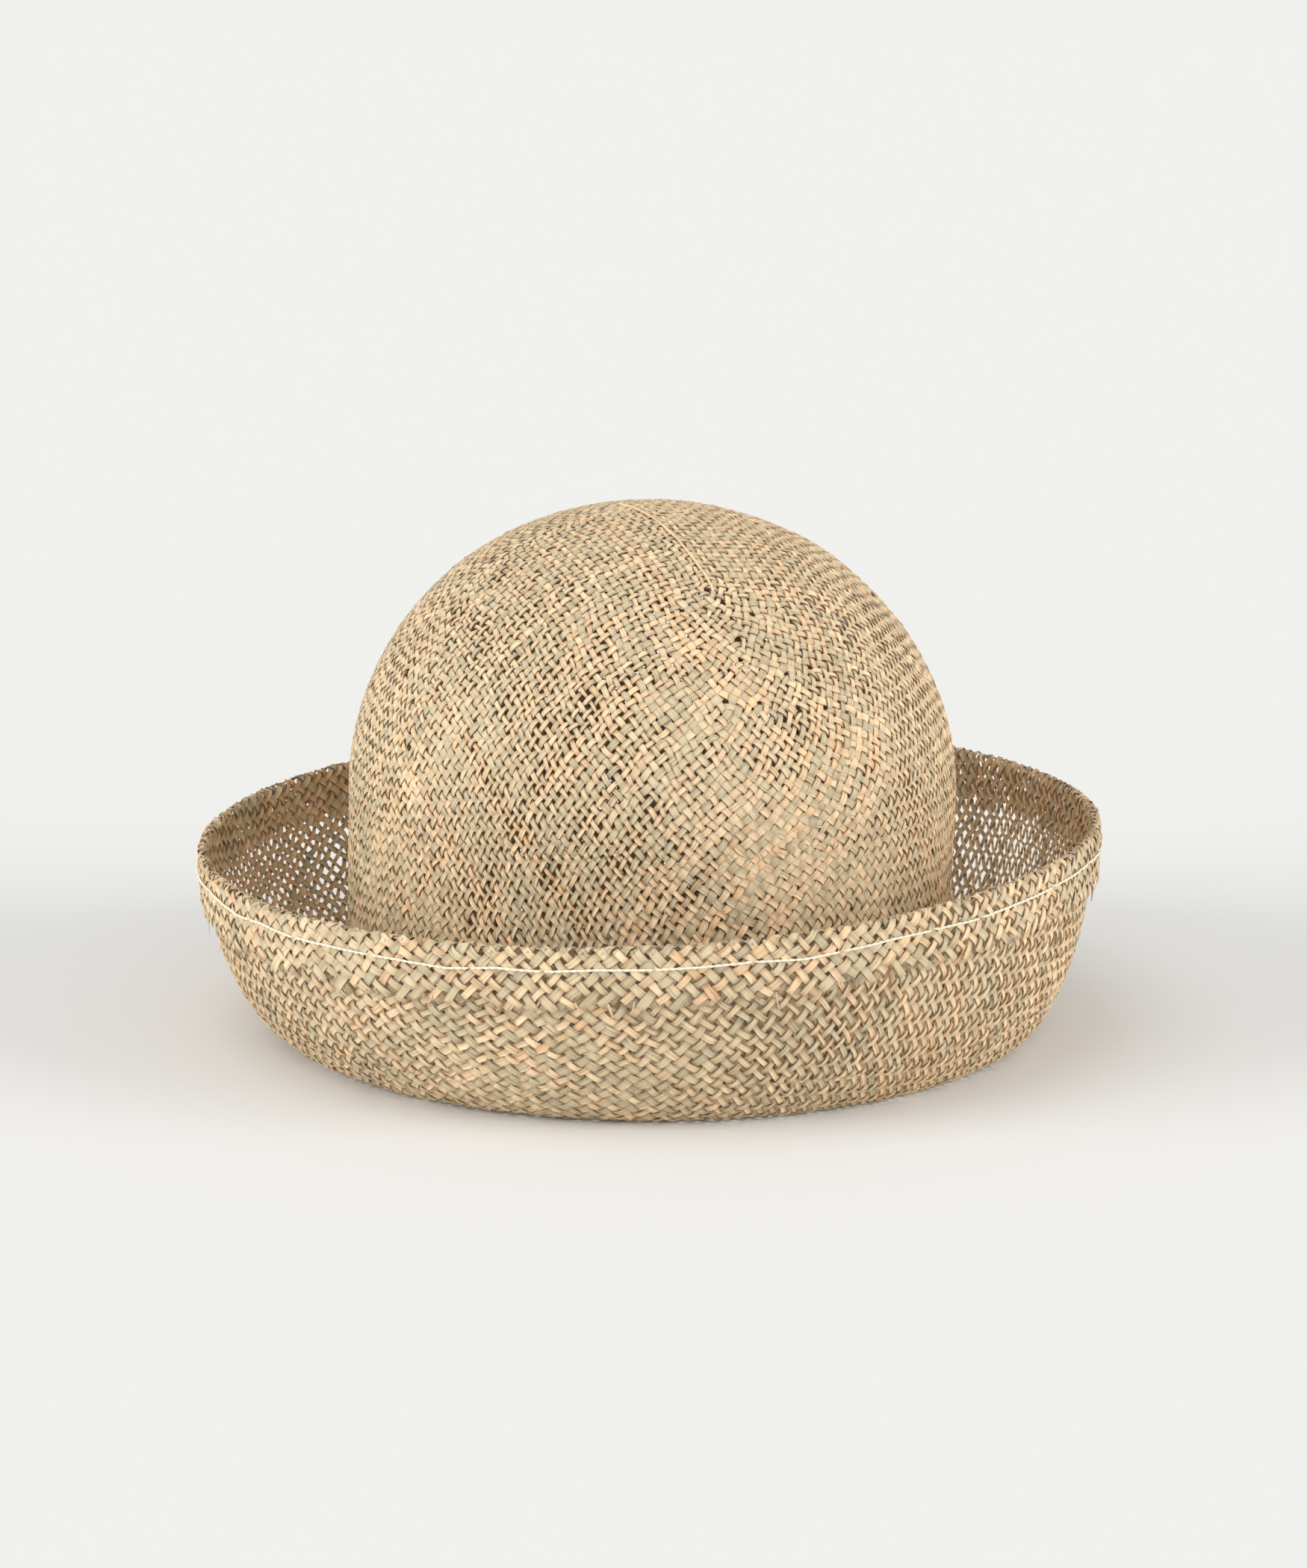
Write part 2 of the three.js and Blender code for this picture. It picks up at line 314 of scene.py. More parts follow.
class Sheet:
    """The middle of the woven sheet, from the tip of the crown down to the hem's cut edge.

    A place on it is a flat vector whose length is the distance from the tip, measured down the sheet, and
    whose direction is the azimuth. The sheet is then a disc that is smooth across the tip."""

    def __init__(self):
        azimuth = np.linspace(0.0, 2 * math.pi, AZIMUTH_COLUMNS, endpoint=False)[:, None]
        dome = crown_surface(azimuth, np.linspace(0, 1, DOME_ROWS)[None])
        side = crown_surface(azimuth, np.linspace(1, 2, SIDE_ROWS)[None, 1:])
        turn = brim_surface(azimuth, np.linspace(0, 1, TURN_ROWS)[None, 1:])
        rest = brim_surface(azimuth, np.linspace(1, 2, REST_ROWS)[None, 1:])
        wall_along = np.linspace(2, 3, WALL_ROWS)
        wall = brim_surface(azimuth, wall_along[None, 1:])
        radius = (WALL + LAYER_GAP) / 2
        up, normal = brim_normal(azimuth, np.array([[3.0]]))
        turns = np.linspace(0, math.pi, FOLD_ROWS)[None, 1:, None]
        around = normal * np.cos(turns) + up * np.sin(turns)
        fold = wall[:, -1:] - normal * radius + around * radius
        hem = self.hem_rows(azimuth, wall_along, radius)
        rows = np.concatenate([dome, side, turn, rest, wall, fold, hem], axis=1)
        gaps = np.linalg.norm(np.diff(rows, axis=1), axis=2).mean(axis=0)
        distance = np.concatenate([[0.0], np.cumsum(gaps)])
        ends = np.cumsum([part.shape[1] for part in (dome, side, turn, rest, wall, fold)]) - 1
        self.dome_edge, self.head, self.rest_in, self.rest_out, self.rim, self.hem_top = distance[ends]
        self.cut_edge = self.hem_top + HEM_DEPTH
        even = np.arange(0.0, distance[-1], DISTANCE_STEP)
        at = np.clip(np.searchsorted(distance, even, side="right") - 1, 0, len(distance) - 2)
        share = ((even - distance[at]) / (distance[at + 1] - distance[at]))[None, :, None]
        self.points = rows[:, at] * (1 - share) + rows[:, at + 1] * share
        down = np.gradient(self.points, axis=1)
        along = np.roll(self.points, -1, axis=0) - np.roll(self.points, 1, axis=0)
        self.normals = unit(np.cross(down, along))
        self.normals[:, 0] = (0.0, 0.0, 1.0)
        self.rows = len(even)
        ring = np.linalg.norm(np.roll(self.points, -1, axis=0) - self.points, axis=2).sum(axis=0)
        self.girth = lambda d: np.interp(d, even, ring)

    @staticmethod
    def hem_rows(azimuth, wall_along, radius):
        """The hem's flap, laid down the outside of the wall from the fold."""
        depths = np.linspace(0.0, HEM_DEPTH + HEM_SPARE, HEM_ROWS)[1:]
        wall = brim_surface(azimuth, wall_along[None])
        reach = np.cumsum(np.linalg.norm(np.diff(wall, axis=1), axis=2), axis=1)
        reach = np.concatenate([np.zeros((len(azimuth), 1)), reach], axis=1)
        along = np.array([np.interp(r[-1] - depths, r, wall_along) for r in reach])
        _, normal = brim_normal(azimuth, along)
        return brim_surface(azimuth, along) - normal * 2 * radius

    def sample(self, grid, places):
        """Reads a grid of the sheet at flat places, evenly between its rows and columns."""
        column = np.mod(np.arctan2(places[:, 1], places[:, 0]) / (2 * math.pi), 1.0) * AZIMUTH_COLUMNS
        row = np.clip(np.hypot(places[:, 0], places[:, 1]) / DISTANCE_STEP, 0, self.rows - 1.001)
        c = column.astype(int)
        r = row.astype(int)
        cf = (column - c)[:, None]
        rf = (row - r)[:, None]
        c = c % AZIMUTH_COLUMNS
        c2 = (c + 1) % AZIMUTH_COLUMNS
        near = grid[c, r] * (1 - rf) + grid[c, r + 1] * rf
        far = grid[c2, r] * (1 - rf) + grid[c2, r + 1] * rf
        return near * (1 - cf) + far * cf

    def point(self, places):
        return self.sample(self.points, places)

    def normal(self, places):
        return unit(self.sample(self.normals, places))

    def flatten(self, places, moves):
        """The flat moves that carry places through moves in space."""
        beside = 0.3
        step_x = np.array([[beside, 0.0]])
        step_y = np.array([[0.0, beside]])
        tx = (self.point(places + step_x) - self.point(places - step_x)) / (2 * beside)
        ty = (self.point(places + step_y) - self.point(places - step_y)) / (2 * beside)
        xx = (tx * tx).sum(1)
        xy = (tx * ty).sum(1)
        yy = (ty * ty).sum(1)
        mx = (tx * moves).sum(1)
        my = (ty * moves).sum(1)
        det = np.maximum(xx * yy - xy * xy, 1e-6)
        return np.stack([(yy * mx - xy * my) / det, (xx * my - xy * mx) / det], axis=1)


# The plait's crossings

def distance_of(places):
    return np.hypot(places[:, 0], places[:, 1])


def pitch_at(sheet, distance):
    """The plait's pitch at a distance from the tip."""
    marks = [0, CORNER_RINGS * TIP_PITCH, sheet.dome_edge, sheet.head, sheet.rest_out, sheet.rim]
    return np.interp(distance, marks, [TIP_PITCH, TIP_PITCH, SIDE_PITCH, HEAD_PITCH, TURN_PITCH, BRIM_PITCH])


QUARTER_STEPS = np.array([[1, 0], [0, 1], [-1, 0], [0, -1]])


def quarter_of(lattice):
    """Which quarter of the square plait a crossing is in."""
    turn = np.arctan2(lattice[:, 1], lattice[:, 0])
    return (np.floor(turn / (math.pi / 2)).astype(int)) % 4


class Plait:
    """Crossings in rings around the tip. From each crossing one strand runs down and on with the azimuth,
    the other down and back against it. Where a gap between two crossings is widened, a new strand is
    laid in at its middle and folded, so both of its legs run down. Over and under stay in turn."""

    def __init__(self, sheet, rng):
        self.sheet = sheet
        self.rng = rng
        self.rings = []
        self.ahead = []
        self.back = []
        self.folds = []
        self.lay_top()
        self.lay_sides()
        self.join()
        self.relax()

    def lay_top(self):
        """The square plait at the tip, whose rings each have four more crossings than the last."""
        lattice = np.array([[0.5, 0.5], [-0.5, 0.5], [-0.5, -0.5], [0.5, -0.5]])
        gaps = np.arange(4)
        self.folds += [(0, g, (g + 1) % 4) for g in gaps]
        for ring in range(CORNER_RINGS):
            turn = math.radians(CORNER_AZIMUTH)
            rotate = np.array([[math.cos(turn), math.sin(turn)], [-math.sin(turn), math.cos(turn)]])
            self.rings.append(lattice @ rotate * TIP_PITCH + np.array(LATTICE_CENTRE))
            if ring == CORNER_RINGS - 1:
                break
            first, last, gaps = self.branch(len(lattice), gaps)
            quarter = quarter_of(lattice)
            child = np.zeros((len(lattice) + 4, 2))
            child[first] = lattice + QUARTER_STEPS[(quarter + 1) % 4]
            child[np.roll(last, 1)] = lattice + QUARTER_STEPS[quarter]
            lattice = child

    def branch(self, count, gaps):
        """Links a ring to the next one, with a new strand in each of the gaps."""
        widened = np.zeros(count, int)
        widened[gaps] = 1
        first = np.arange(count) + np.concatenate([[0], np.cumsum(widened)[:-1]])
        last = first + widened
        self.ahead.append(first)
        self.back.append(np.roll(last, 1))
        ring = len(self.rings)
        self.folds += [(ring, first[g], last[g]) for g in gaps]
        return first, last, first[gaps]

    def lay_sides(self):
        """The rings below the corners, each a pitch below the last, down past the cut edge."""
        sheet = self.sheet
        recent = np.zeros(len(self.rings[-1]), bool)
        while distance_of(self.rings[-1]).min() < sheet.cut_edge + PLAIT_SPARE:
            places = self.rings[-1]
            count = len(places)
            space = sheet.point(places)
            chord = np.roll(space, -1, axis=0) - space
            width = np.linalg.norm(chord, axis=1)
            wanted = min(STRANDS, round(float(sheet.girth(distance_of(places).mean() + 2) / RING_SPACING)))
            gaps = self.widest(width, recent, wanted - count)
            first, last, _ = self.branch(count, gaps)
            middle = (places + np.roll(places, -1, axis=0)) / 2
            pitch = pitch_at(sheet, distance_of(middle))
            down = np.cross(chord / width[:, None], sheet.normal(middle))
            fall = np.sqrt(np.maximum(pitch ** 2 - (width / 2) ** 2, (LEAST_FALL * pitch) ** 2))
            child = np.zeros((count + len(gaps), 2))
            child[first] = middle + sheet.flatten(middle, down * fall[:, None])
            if len(gaps):
                steep = np.sqrt(np.maximum(pitch ** 2 - (width / 4) ** 2, (LEAST_FALL * pitch) ** 2))
                for index, share in ((first, -0.25), (last, 0.25)):
                    move = chord[gaps] * share + down[gaps] * steep[gaps, None]
                    child[index[gaps]] = middle[gaps] + sheet.flatten(middle[gaps], move)
            recent = np.zeros(len(child), bool)
            recent[first[gaps]] = True
            self.rings.append(self.smooth(child, RING_SMOOTHING))

    def widest(self, width, recent, count):
        """The gaps that take new strands: the widest ones, and none close together."""
        if count <= 0:
            return np.array([], int)
        score = width * (1 + CHOICE_SCATTER * self.rng.random(len(width)))
        score[recent | np.roll(recent, 1) | np.roll(recent, -1)] *= 0.5
        chosen = []
        for _ in range(min(count, len(width) // GAPS_PER_NEW_STRAND)):
            best = int(np.argmax(score))
            chosen.append(best)
            for beside in range(-GAPS_APART, GAPS_APART + 1):
                score[(best + beside) % len(score)] *= 0.5 if beside else 0.0
        return np.array(sorted(chosen))

    @staticmethod
    def smooth(places, share):
        """Moves each crossing of a ring part of the way to the middle of its neighbours."""
        turn = np.arctan2(places[:, 1], places[:, 0])
        before = np.angle(np.exp(1j * (np.roll(turn, 1) - turn)))
        after = np.angle(np.exp(1j * (np.roll(turn, -1) - turn)))
        distance = distance_of(places)
        turn = turn + share * (before + after) / 2
        distance = distance + share * ((np.roll(distance, 1) + np.roll(distance, -1)) / 2 - distance)
        return np.stack([distance * np.cos(turn), distance * np.sin(turn)], axis=1)

    def join(self):
        """Puts the rings into one list, with each crossing's links counted through it."""
        sizes = [len(r) for r in self.rings]
        starts = np.concatenate([[0], np.cumsum(sizes)])
        self.places = np.concatenate(self.rings)
        self.ring_of = np.repeat(np.arange(len(sizes)), sizes)
        none = np.full(sizes[-1], -1)
        self.ahead = np.concatenate([a + starts[k + 1] for k, a in enumerate(self.ahead)] + [none])
        self.back = np.concatenate([b + starts[k + 1] for k, b in enumerate(self.back)] + [none])
        self.folds = [(starts[k] + a, starts[k] + b) for k, a, b in self.folds]
        within = [(np.arange(n) + 1) % n for n in sizes]
        self.beside = np.concatenate([w + starts[k] for k, w in enumerate(within)])
        self.before = np.empty_like(self.beside)
        self.before[self.beside] = np.arange(len(self.beside))

    def relax(self):
        """Draws every stretch of strand towards the plait's pitch, with the crossings kept on the sheet."""
        sheet = self.sheet
        tops = np.arange(len(self.places))
        held = self.ring_of < 2
        linked = self.ahead >= 0
        start = np.concatenate([tops[linked], tops[linked]])
        end = np.concatenate([self.ahead[linked], self.back[linked]])
        for _ in range(RELAX_ROUNDS):
            space = sheet.point(self.places)
            stretch = space[end] - space[start]
            length = np.linalg.norm(stretch, axis=1)
            rest = pitch_at(sheet, distance_of(self.places[start]))
            pull = stretch * (0.5 * (1 - rest / length))[:, None]
            push = np.zeros_like(space)
            for axis in range(3):
                push[:, axis] = np.bincount(start, pull[:, axis], len(space))
                push[:, axis] -= np.bincount(end, pull[:, axis], len(space))
            even = (space[self.beside] + space[self.before]) / 2 - space
            move = sheet.flatten(self.places, push * RELAX_PULL + even * RELAX_EVEN)
            move *= np.minimum(1.0, LONGEST_MOVE / np.maximum(distance_of(move), 1e-9))[:, None]
            move[held] = 0
            self.places = self.places + move
        space = sheet.point(self.places)
        gap = np.linalg.norm(space[self.beside] - space, axis=1)
        gap = (gap + gap[self.before]) / 2
        mean = np.bincount(self.ring_of, gap) / np.bincount(self.ring_of)
        self.spread = np.clip(gap / mean[self.ring_of], *SPREAD_LIMITS)


# Strands as meshes

class Ribbon:
    """Collects ribbons of a four-cornered section as one mesh, with the values that the material reads."""

    def __init__(self):
        self.vertices = []
        self.quads = []
        self.blade = []
        self.tint = []
        self.count = 0

    def add(self, path, side, up, width, thickness, along, seed, tint, depth):
        """Depth is 1 where the strand lies over the sheet and -1 where it lies under it. The side that faces
        the strand beneath or above it is darkened, as little light gets there."""
        n = len(path)
        half_w = (width / 2)[:, None] * side
        half_t = (thickness / 2)[:, None] * up
        rings = np.stack([path - half_w + half_t, path + half_w + half_t,
                          path + half_w - half_t, path - half_w - half_t], axis=1)
        self.vertices.append(rings.reshape(-1, 3))
        index = self.count + np.arange(n * 4).reshape(n, 4)
        around = np.roll(index, -1, axis=1)
        self.quads.append(np.stack([index[:-1], index[1:], around[1:], around[:-1]], axis=-1).reshape(-1, 4))
        self.quads.append(np.array([index[0], index[-1][::-1]]))
        across = np.tile([-1.0, 1.0, 1.0, -1.0], n)
        self.blade.append(np.stack([np.repeat(along, 4), across, np.full(n * 4, seed)], axis=1))
        tints = np.repeat(tint, 4, axis=0)
        hidden = np.maximum(0.0, depth[:, None] * np.array([-1.0, -1.0, 1.0, 1.0])).ravel()
        tints[:, 1] -= UNDER_SHADE * hidden
        self.tint.append(tints)
        self.count += n * 4

    def build(self, name, material):
        """Makes the mesh. Only its edges along the strands are sharp."""
        vertices = np.concatenate(self.vertices) * MM
        quads = np.concatenate(self.quads).astype(np.int32)
        mesh = bpy.data.meshes.new(name)
        mesh.vertices.add(len(vertices))
        mesh.vertices.foreach_set("co", vertices.astype(np.float32).ravel())
        mesh.loops.add(quads.size)
        mesh.loops.foreach_set("vertex_index", quads.ravel())
        mesh.polygons.add(len(quads))
        mesh.polygons.foreach_set("loop_start", np.arange(0, quads.size, 4, dtype=np.int32))
        mesh.update(calc_edges=True)
        mesh.polygons.foreach_set("use_smooth", np.ones(len(quads), bool))
        ends = np.empty(len(mesh.edges) * 2, np.int32)
        mesh.edges.foreach_get("vertices", ends)
        ends = ends.reshape(-1, 2)
        lengthwise = (ends[:, 0] % 4) == (ends[:, 1] % 4)
        sharp = mesh.attributes.new("sharp_edge", "BOOLEAN", "EDGE")
        sharp.data.foreach_set("value", lengthwise)
        for label, values in (("blade", self.blade), ("tint", self.tint)):
            layer = mesh.attributes.new(label, "FLOAT_VECTOR", "POINT")
            layer.data.foreach_set("vector", np.concatenate(values).astype(np.float32).ravel())
        mesh.materials.append(material)
        piece = bpy.data.objects.new(name, mesh)
        bpy.context.scene.collection.objects.link(piece)
        return piece


def soft_noise(rng, count, span):
    """Even random values along a line, smooth over about span steps, most of them within one of nought."""
    knots = rng.standard_normal(int(count / span) + 4)
    at = np.arange(count) / span + rng.random()
    k = at.astype(int)
    f = at - k
    f = f * f * (3 - 2 * f)
    return knots[k] * (1 - f) + knots[k + 1] * f


def spline(points, at):
    """A smooth curve through the points, at places counted in points from the first."""
    first = points[1] - points[0]
    last = points[-1] - points[-2]
    lead = [points[0] - first * step for step in (3, 2, 1)]
    trail = [points[-1] + last * step for step in (1, 2, 3)]
    padded = np.concatenate([lead, points, trail])
    k = np.floor(at).astype(int) + 3
    t = (at - np.floor(at))[:, None]
    a, b, c, d = padded[k - 1], padded[k], padded[k + 1], padded[k + 2]
    straight = 2 * b + (c - a) * t
    bent = (2 * a - 5 * b + 4 * c - d) * t ** 2
    turned = (3 * b - a - 3 * c + d) * t ** 3
    return 0.5 * (straight + bent + turned)


class Weaver:
    """Turns the plait's strands into ribbons, sorted into pieces by how far they are from the tip."""

    def __init__(self, sheet, plait, rng, bounds):
        self.sheet = sheet
        self.plait = plait
        self.rng = rng
        self.bounds = bounds
        self.pieces = [Ribbon() for _ in range(len(bounds) + 1)]
        self.waves = rng.standard_normal((5, 2)) * 2 * math.pi / COVER_SPAN / math.sqrt(2)
        self.phases = rng.uniform(0, 2 * math.pi, 5)
        self.swells = rng.standard_normal((6, 2)) * 2 * math.pi / WANDER_SPAN / math.sqrt(2)
        self.swell_phases = rng.uniform(0, 2 * math.pi, 6)

    def leg(self, crossing, links):
        """The crossings that a strand runs over, from one of them down to the cut edge."""
        path = []
        while crossing >= 0 and self.distance[crossing] < self.sheet.cut_edge:
            path.append(crossing)
            crossing = links[crossing]
        return path

    def weave(self):
        """Moves the crossings a little off their places, then lays every strand both ways from its fold."""
        jitter = self.rng.standard_normal(self.plait.places.shape) * JITTER
        swell = np.sin(self.plait.places @ self.swells.T + self.swell_phases)
        drift = np.stack([swell[:, :3].sum(axis=1), swell[:, 3:].sum(axis=1)], axis=1)
        drift = drift * WANDER / math.sqrt(1.5)
        self.places = self.plait.places + jitter + drift
        self.distance = distance_of(self.plait.places)
        for number, (left, right) in enumerate(self.plait.folds):
            before = self.leg(left, self.plait.back)
            after = self.leg(right, self.plait.ahead)
            path = np.array(before[::-1] + after)
            if len(path) < 3:
                continue
            odd = self.plait.ring_of[path] % 2 == 0
            family = np.concatenate([np.full(len(before), -1), np.full(len(after), 1)])
            over = np.where(odd, family, -family) * STRAND_LIFT
            self.strand(number, path, over)

    def cover(self, places):
        """The share of the pitch that a strand fills, a little more in some areas and less in others. On the
        brim's wall and the hem it fills more at the front."""
        sheet = self.sheet
        distance = distance_of(places)
        rim_band = sheet.rim - RIM_BAND
        marks = [0, TIP_REACH, sheet.dome_edge, sheet.head, sheet.rest_out, rim_band, sheet.hem_top]
        covers = [TIP_COVER, TIP_COVER, CROWN_COVER, HEAD_COVER, BRIM_COVER, BRIM_COVER, HEM_COVER]
        swing = np.sin(places @ self.waves.T + self.phases).sum(axis=1) / math.sqrt(len(self.phases) / 2)
        wall = np.clip((distance - sheet.rest_out) / FRONT_RAMP, 0, 1)
        front = (1 - places[:, 1] / distance) / 2
        return np.interp(distance, marks, covers) + COVER_SWING * swing + FRONT_COVER * wall * front

    def colours(self, count):
        """Green, light, rust and width along a strand. It is made of blades that each run over some
        crossings. The straw-coloured ones are narrower than the green ones, and a few are broad and pale."""
        rng = self.rng
        values = np.zeros((count, 4))
        start = 0
        while start < count:
            length = int(rng.integers(*BLADE_LENGTHS))
            kind = STRAW_BLADE if rng.random() < STRAW_SHARE else GREEN_BLADE
            green = rng.normal(*kind["green"])
            light = rng.normal(*kind["light"])
            rust = max(0.0, rng.normal(*kind["rust"]))
            width = rng.uniform(*kind["width"])
            if rng.random() < PALE_SHARE:
                green, light, width = PALE_BLADE["green"], PALE_BLADE["light"], PALE_BLADE["width"]
            values[start:start + length] = (green, light, rust, width)
            start += length
        values[:, 0] += 0.08 * soft_noise(rng, count, 3)
        values[:, 1] += 0.25 * soft_noise(rng, count, 2) + 0.13 * rng.standard_normal(count)
        return values

    def strand(self, number, path, over):
        """One strand as ribbons. Each crossing has a short level stretch, over or under the sheet."""
        rng = self.rng
        m = len(path)
        flat = self.places[path]
        tails = rng.uniform(*TAIL_LENGTHS, 2)
        inner = (np.arange(m)[:, None] + np.array([-PLATEAU, PLATEAU])).ravel()
        at = np.concatenate([[-tails[0]], inner, [m - 1 + tails[1]]])
        crossing = np.clip(np.round(at).astype(int), 0, m - 1)
        places = spline(flat, at)
        lift = over * (1 + LIFT_SCATTER * rng.standard_normal(m))
        height = lift[crossing]
        height[[0, -1]] *= TAIL_LIFT
        normal = self.sheet.normal(places)
        points = self.sheet.point(places) + normal * height[:, None]
        tangent = unit(np.gradient(points, axis=0))
        side = unit(np.cross(tangent, normal))
        up = np.cross(side, tangent)
        roll = ROLL_SWING * soft_noise(rng, len(at), 3) + ROLL_SCATTER * rng.standard_normal(len(at))
        roll = np.radians(roll)[:, None]
        side, up = side * np.cos(roll) + up * np.sin(roll), up * np.cos(roll) - side * np.sin(roll)
        distance = distance_of(places)
        width = pitch_at(self.sheet, distance) * self.cover(places) * self.plait.spread[path][crossing]
        blades = self.colours(m)
        azimuth = np.arctan2(flat[:, 1], flat[:, 0])
        blades[:, 0] += GREEN_SWING * np.cos(azimuth - math.radians(GREEN_AZIMUTH))
        tint = blades[:, :3]
        width = width * rng.normal(1.0, STRAND_SCATTER) * blades[crossing, 3]
        width = width * (1 + WIDTH_SWING * soft_noise(rng, len(at), 9))
        width = width * (1 + WIDTH_SCATTER * rng.standard_normal(len(at)))
        width = np.minimum(width, pitch_at(self.sheet, distance) * WIDEST_STRAND)
        thickness = STRAND_THICKNESS * (1 + THICKNESS_SWING * soft_noise(rng, len(at), 5))
        tint = tint[crossing]
        depth = height / STRAND_LIFT
        along = at * TIP_PITCH
        region = np.searchsorted(self.bounds, (distance[1:] + distance[:-1]) / 2)
        cuts = np.flatnonzero(np.diff(region)) + 1
        starts = np.concatenate([[0], cuts])
        ends = np.concatenate([cuts, [len(region)]])
        for a, b in zip(starts, ends):
            part = slice(a, b + 1)
            self.pieces[region[a]].add(points[part], side[part], up[part], width[part], thickness[part],
                                       along[part], number * SEED_STEP, tint[part], depth[part])

    def floating_strand(self):
        """One pale, thin strand that lies loose over the weave, from behind the tip to the front corner."""
        count = FLOAT_POINTS
        turn = math.radians(CORNER_AZIMUTH - 90)
        reach = np.linspace(-FLOAT_BACK, CORNER_RINGS * TIP_PITCH, count)
        flat = np.array(LATTICE_CENTRE) + reach[:, None] * np.array([[math.cos(turn), math.sin(turn)]])
        waver = np.stack([soft_noise(self.rng, count, 9), soft_noise(self.rng, count, 9)], axis=1)
        flat = flat + 0.12 * waver
        normal = self.sheet.normal(flat)
        height = FLOAT_LIFT + 0.08 * soft_noise(self.rng, count, 5)
        height[:4] = np.linspace(-FLOAT_END, FLOAT_LIFT, 4)
        height[-4:] = np.linspace(FLOAT_LIFT, -FLOAT_END, 4)
        points = self.sheet.point(flat) + normal * height[:, None]
        side = unit(np.cross(unit(np.gradient(points, axis=0)), normal))
        width = FLOAT_WIDTH * (1 + 0.1 * soft_noise(self.rng, count, 8))
        tint = np.tile([0.0, 3.0, 0.0], (count, 1))
        self.pieces[0].add(points, side, normal, width, width * 0.6, reach, FLOAT_SEED, tint, np.zeros(count))


# The hem's thread and the loose ends

def flat_place(azimuth, distance):
    """The flat place at an azimuth and a distance from the tip."""
    return np.stack([distance * np.cos(azimuth), distance * np.sin(azimuth)], axis=-1)


def tube(path, side, up, radius, sides):
    """Rings of points around a path."""
    turn = np.linspace(0, 2 * math.pi, sides, endpoint=False)
    ring = side[:, None] * np.cos(turn)[None, :, None] + up[:, None] * np.sin(turn)[None, :, None]
    return path[:, None] + ring * radius


def make_thread(sheet, rng, material):
    """A two-ply thread in long stitches round the outside of the hem, with short dips through the weave."""
    girth = float(sheet.girth(sheet.hem_top + STITCH_DEPTH))
    count = int(girth / THREAD_STEP)
    share = np.arange(count) / count
    azimuth = share * 2 * math.pi - math.pi / 2
    stitches = round(girth / STITCH_LENGTH)
    starts = (np.arange(stitches) + 0.15 * rng.standard_normal(stitches)) / stitches
    off = share[:, None] - starts[None]
    off = np.abs(off - np.round(off)).min(axis=1) * girth
    dip = np.clip((DIP_REACH - off) / DIP_LENGTH, 0.0, 1.0)
    knots = np.append(rng.standard_normal(WAVER_KNOTS - 1), 0.0)
    waver = np.interp(share, np.linspace(0, 1, WAVER_KNOTS), knots)
    distance = sheet.hem_top + STITCH_DEPTH + THREAD_WAVER * waver
    places = flat_place(azimuth, distance)
    normal = sheet.normal(places)
    height = STITCH_HEIGHT + 0.1 * soft_noise(rng, count, 8) - DIP_DEPTH * dip * dip * (3 - 2 * dip)
    path = sheet.point(places) + normal * height[:, None]
    tangent = unit(np.roll(path, -1, axis=0) - np.roll(path, 1, axis=0))
    side = unit(np.cross(tangent, normal))
    up = np.cross(side, tangent)
    turns = round(girth / PLY_TURN)
    vertices = []
    for ply in (0.0, math.pi):
        angle = share * 2 * math.pi * turns + ply
        off_axis = side * np.cos(angle)[:, None] + up * np.sin(angle)[:, None]
        vertices.append(tube(path + off_axis * PLY_OFFSET, side, up, PLY_RADIUS, PLY_SIDES))
    index = np.arange(count * PLY_SIDES).reshape(count, PLY_SIDES)
    ahead = np.roll(index, -1, axis=0)
    quads = np.stack([index, np.roll(index, -1, 1), np.roll(ahead, -1, 1), ahead], -1).reshape(-1, 4)
    quads = np.concatenate([quads, quads + count * PLY_SIDES])
    mesh = bpy.data.meshes.new("hem_thread")
    mesh.from_pydata((np.concatenate(vertices).reshape(-1, 3) * MM).tolist(), [], quads.tolist())
    mesh.polygons.foreach_set("use_smooth", np.ones(len(quads), bool))
    mesh.materials.append(material)
    piece = bpy.data.objects.new("hem_thread", mesh)
    bpy.context.scene.collection.objects.link(piece)
    return piece


def make_loose_ends(sheet, rng, material):
    """Thin split ends that stand out of the weave at the hem's cut edge."""
    ribbon = Ribbon()
    steps = np.linspace(0, 1, LOOSE_POINTS)
    for number in range(LOOSE_ENDS):
        azimuth = rng.uniform(0, 2 * math.pi)
        place = flat_place(np.array([azimuth]), np.array([sheet.cut_edge - rng.uniform(0, 1.5)]))
        start = sheet.point(place)[0]
        normal = sheet.normal(place)[0]
        down = unit(sheet.point(place * 1.005)[0] - start)
        around = np.cross(normal, down)
        lean = rng.normal(0, 0.9)
        heading = unit(down + around * lean + normal * rng.uniform(0.0, 0.4))
        length = rng.uniform(*LOOSE_LENGTHS)
        bend = around * rng.normal(0, 0.3) + normal * rng.uniform(-0.25, 0.3)
        path = start + normal * 0.3 + length * (steps[:, None] * heading + steps[:, None] ** 2 * bend)
        tangent = unit(np.gradient(path, axis=0))
        side = unit(np.cross(tangent, normal))
        up = np.cross(side, tangent)
        width = rng.uniform(*LOOSE_WIDTHS) * (1 - 0.75 * steps ** 2)
        tint = np.tile([rng.uniform(0, 0.5), rng.uniform(0, 1.5), 0.0], (LOOSE_POINTS, 1))
        seed = number * LOOSE_SEED_STEP
        ribbon.add(path, side, up, width, width * 0.4, steps * length, seed, tint, steps * 0)
    return ribbon.build("loose_ends", material)


# Materials

